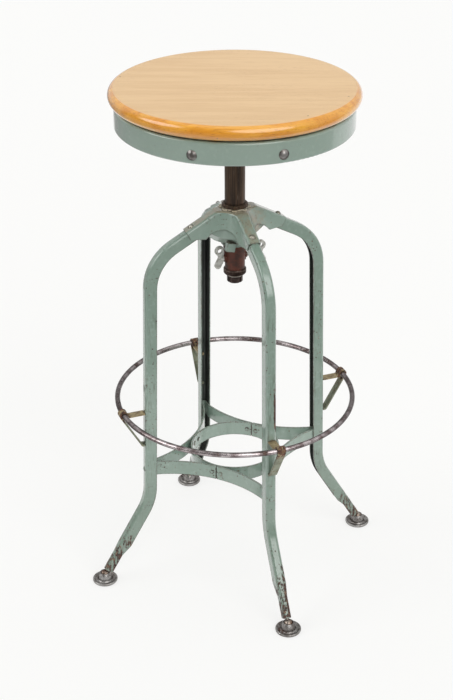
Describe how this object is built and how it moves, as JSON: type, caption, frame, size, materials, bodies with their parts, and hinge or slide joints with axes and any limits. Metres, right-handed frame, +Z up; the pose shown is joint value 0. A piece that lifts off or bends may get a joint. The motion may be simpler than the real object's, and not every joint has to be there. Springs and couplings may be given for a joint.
{
  "type": "adjustable work stool",
  "caption": "Height-adjustable swivel work stool: round wooden seat on a pan, clamped post, riveted channel legs, foot ring, hooped brace and tilting glides.",
  "frame": {"origin": "on the floor under the post axis, midway between the four glides", "axes": "+Z up along the post; the legs stand on -Y (front), +X (right), +Y (back) and -X (left)"},
  "size_m": [0.483, 0.483, 0.7909],
  "materials": {
    "jade_paint": "glossy pale jade enamel, chipped and rust speckled",
    "seat_wood": "clear varnished pale wood with an amber rounded edge",
    "brown_steel": "dark oxidised steel with a brown patina",
    "ring_steel": "bare worn steel wire with rust patches",
    "bracket_steel": "bare flat bar with a dull tan tarnish",
    "bare_steel": "bare steel, worn and slightly tarnished",
    "cast_grey": "grey casting, smooth and worn",
    "bush_brass": "oiled bearing bronze",
    "glide_steel": "worn steel with rust in its hollows"
  },
  "bodies": {
    "base": {"hub_upper": "jade_paint", "hub_lower": "jade_paint", "guide_sleeve": "brown_steel", "crimp_ring": "bare_steel", "sleeve_nut": "jade_paint", "hub_rivets": "bare_steel", "brace_hoop": "jade_paint", "brace_leg_rivets": "jade_paint", "brace_hoop_rivets": "jade_paint", "foot_ring": "ring_steel", "leg_front": "jade_paint", "brace_strap_front": "jade_paint", "ring_bracket_front": "bracket_steel", "ball_stud_front": "glide_steel", "leg_right": "jade_paint", "brace_strap_right": "jade_paint", "ring_bracket_right": "bracket_steel", "ball_stud_right": "glide_steel", "leg_back": "jade_paint", "brace_strap_back": "jade_paint", "ring_bracket_back": "bracket_steel", "ball_stud_back": "glide_steel", "leg_left": "jade_paint", "brace_strap_left": "jade_paint", "ring_bracket_left": "bracket_steel", "ball_stud_left": "glide_steel"},
    "post": {"post_tube": "brown_steel", "stop_collar": "brown_steel", "upper_bush": "bush_brass", "lower_bush": "bush_brass", "thrust_washer": "bush_brass"},
    "seat": {"seat_board": "seat_wood", "seat_pan": "jade_paint", "seat_spider": "jade_paint", "seat_socket": "cast_grey", "socket_rivets": "bare_steel", "board_screws": "bare_steel", "pan_bolts": "bare_steel", "pan_nuts": "bare_steel", "spindle": "bare_steel", "spindle_pin": "bare_steel", "spindle_washer": "bare_steel", "spindle_nut": "brown_steel"},
    "clamp_shoe_left": {"clamp_shoe_left": "bush_brass"},
    "wing_screw_left": {"wing_screw_left": "cast_grey"},
    "clamp_shoe_right": {"clamp_shoe_right": "bush_brass"},
    "wing_screw_right": {"wing_screw_right": "cast_grey"},
    "glide_front": {"glide_front": "glide_steel"},
    "glide_right": {"glide_right": "glide_steel"},
    "glide_back": {"glide_back": "glide_steel"},
    "glide_left": {"glide_left": "glide_steel"}
  },
  "joints": [
    {"name": "post_height", "type": "slide", "parent": "base", "child": "post", "axis": [0, 0, 1], "range_m": [-0.115, 0.01]},
    {"name": "seat_swivel", "type": "hinge", "parent": "post", "child": "seat", "pos_m": [0, 0, 0.735], "axis": [0, 0, 1], "continuous": true},
    {"name": "shoe_slide_left", "type": "slide", "parent": "base", "child": "clamp_shoe_left", "axis": [-1, 0, 0], "range_m": [0, 0.003]},
    {"name": "wing_turn_left", "type": "hinge", "parent": "clamp_shoe_left", "child": "wing_screw_left", "pos_m": [-0.0265, 0, 0.53], "axis": [-1, 0, 0], "range_deg": [0, 720]},
    {"name": "shoe_slide_right", "type": "slide", "parent": "base", "child": "clamp_shoe_right", "axis": [1, 0, 0], "range_m": [0, 0.003]},
    {"name": "wing_turn_right", "type": "hinge", "parent": "clamp_shoe_right", "child": "wing_screw_right", "pos_m": [0.0265, 0, 0.53], "axis": [1, 0, 0], "range_deg": [0, 720]},
    {"name": "glide_tilt_front", "type": "hinge", "parent": "base", "child": "glide_front", "pos_m": [0, -0.222, 0.0125], "axis": [1, 0, 0], "range_deg": [-7, 7]},
    {"name": "glide_tilt_right", "type": "hinge", "parent": "base", "child": "glide_right", "pos_m": [0.222, 0, 0.0125], "axis": [0, 1, 0], "range_deg": [-7, 7]},
    {"name": "glide_tilt_back", "type": "hinge", "parent": "base", "child": "glide_back", "pos_m": [0, 0.222, 0.0125], "axis": [-1, 0, 0], "range_deg": [-7, 7]},
    {"name": "glide_tilt_left", "type": "hinge", "parent": "base", "child": "glide_left", "pos_m": [-0.222, 0, 0.0125], "axis": [0, -1, 0], "range_deg": [-7, 7]}
  ],
  "couplings": [
    {"joint": "shoe_slide_left", "follows": "wing_turn_left", "m_per_rad": 0.0002387},
    {"joint": "shoe_slide_right", "follows": "wing_turn_right", "m_per_rad": 0.0002387}
  ]
}
